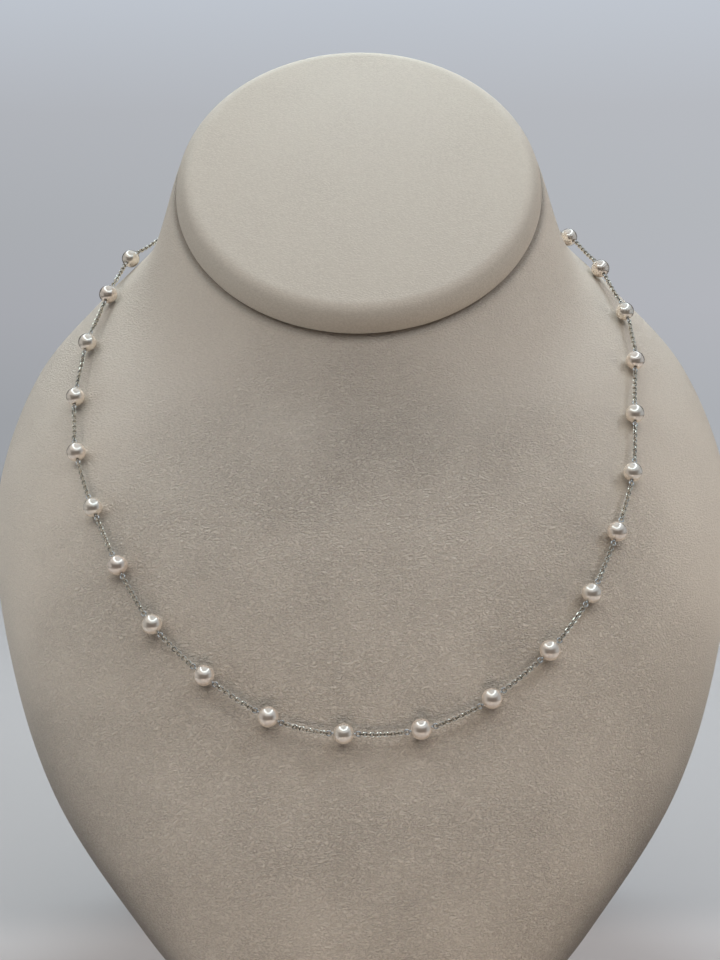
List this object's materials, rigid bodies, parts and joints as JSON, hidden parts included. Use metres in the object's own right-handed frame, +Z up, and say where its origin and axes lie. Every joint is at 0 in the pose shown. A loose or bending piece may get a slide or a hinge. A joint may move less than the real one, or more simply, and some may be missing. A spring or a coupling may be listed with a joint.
{
  "type": "station necklace on a neck bust",
  "caption": "Station necklace of small round drilled pearls spaced along a fine cable chain, worn by a leatherette-covered neck bust with a slanted oval cap.",
  "frame": {"origin": "centre of the bust's flat foot, on the surface that it stands on", "axes": "+Z up, -Y the chest that faces the viewer, +Y the nape, +X the viewer's right"},
  "size_m": [0.176, 0.1423, 0.2232],
  "materials": {
    "bust_cover": "beige leatherette with a fine pebbled grain, satin, a little darker round the lower edge",
    "cap_cover": "pale beige leatherette with a fine pebbled grain, satin",
    "pearl": "nacre, high lustre, creamy white with a faint rosy body colour",
    "silver_wire": "polished silver wire",
    "silver_chain": "polished silver cable links",
    "silver_clasp": "polished silver"
  },
  "bodies": {
    "root": {"bust_body": "bust_cover", "neck_cap": "cap_cover", "pearl_01": "pearl", "pearl_02": "pearl", "pearl_03": "pearl", "pearl_04": "pearl", "pearl_05": "pearl", "pearl_06": "pearl", "pearl_07": "pearl", "pearl_08": "pearl", "pearl_09": "pearl", "pearl_10": "pearl", "pearl_11": "pearl", "pearl_12": "pearl", "pearl_13": "pearl", "pearl_14": "pearl", "pearl_15": "pearl", "pearl_16": "pearl", "pearl_17": "pearl", "pearl_18": "pearl", "pearl_19": "pearl", "pearl_20": "pearl", "pearl_21": "pearl", "pearl_22": "pearl", "pearl_23": "pearl", "pearl_24": "pearl", "pearl_25": "pearl", "pearl_26": "pearl", "pearl_27": "pearl", "pearl_28": "pearl", "station_pins": "silver_wire", "chain": "silver_chain", "clasp": "silver_clasp", "end_ring": "silver_clasp"}
  },
  "joints": []
}
